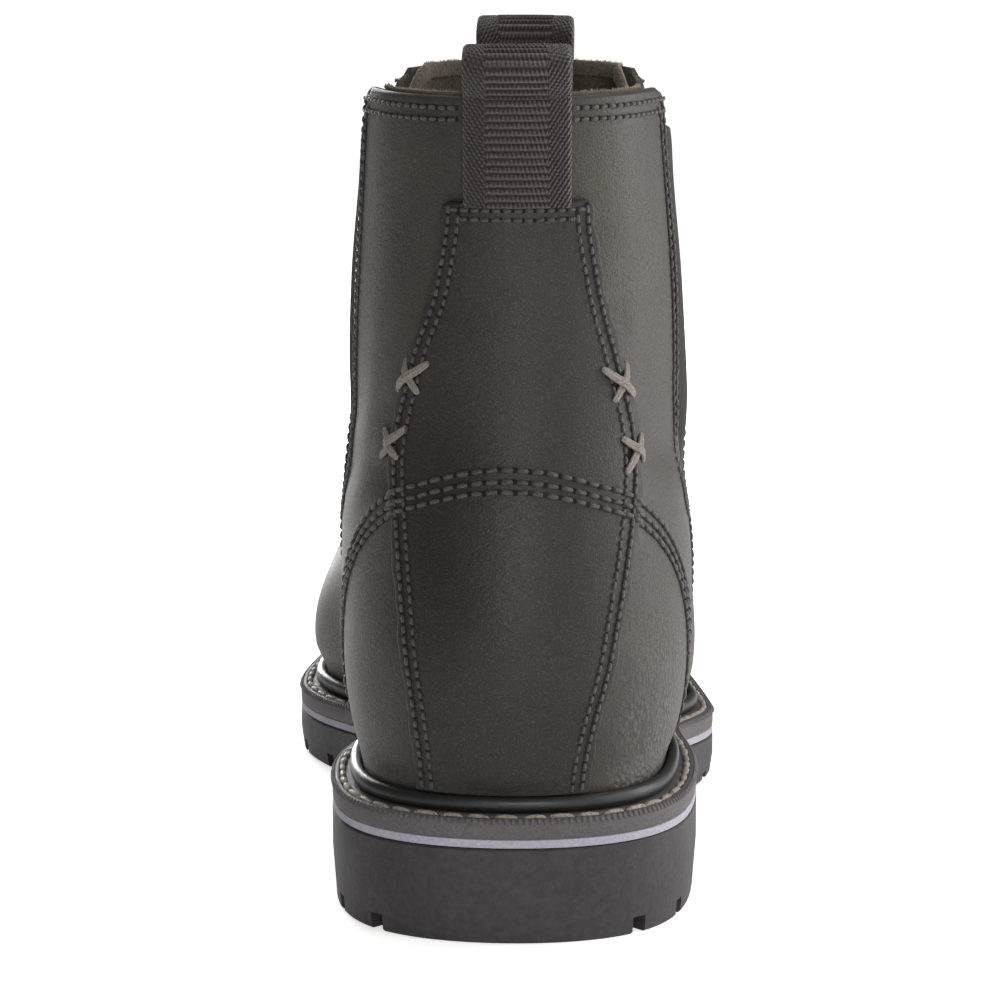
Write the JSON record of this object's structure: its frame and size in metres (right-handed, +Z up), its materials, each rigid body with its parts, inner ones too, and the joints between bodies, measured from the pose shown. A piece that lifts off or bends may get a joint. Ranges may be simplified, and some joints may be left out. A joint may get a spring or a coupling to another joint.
{
  "type": "side gore work boot",
  "caption": "Right work boot with elastic side panels, pull loops over the collar, a back stay, a welted sole with a heel block and edge lugs, standing empty.",
  "frame": {"origin": "centre of the heel's tread, on the floor", "axes": "+Z up, +Y to the toe, +X to the outer side of the right foot"},
  "size_m": [0.1189, 0.306, 0.2137],
  "materials": {
    "outsole_rubber": "matt dark rubber",
    "midsole_stripe": "matt grey rubber",
    "welt_strip": "matt taupe strip",
    "rand_bead": "glossy black bead",
    "insole_board": "plain brown footbed",
    "upper_leather": "waxy dark olive grey leather",
    "gore_elastic": "ribbed dark elastic",
    "loop_webbing": "woven plum grey webbing"
  },
  "bodies": {
    "root": {"outsole": "outsole_rubber", "midsole": "midsole_stripe", "welt": "welt_strip", "rand": "rand_bead", "insole": "insole_board", "upper": "upper_leather", "gore_lateral": "gore_elastic", "gore_medial": "gore_elastic", "back_stay": "upper_leather", "pull_loop_back": "loop_webbing", "pull_loop_front": "loop_webbing"}
  },
  "joints": []
}
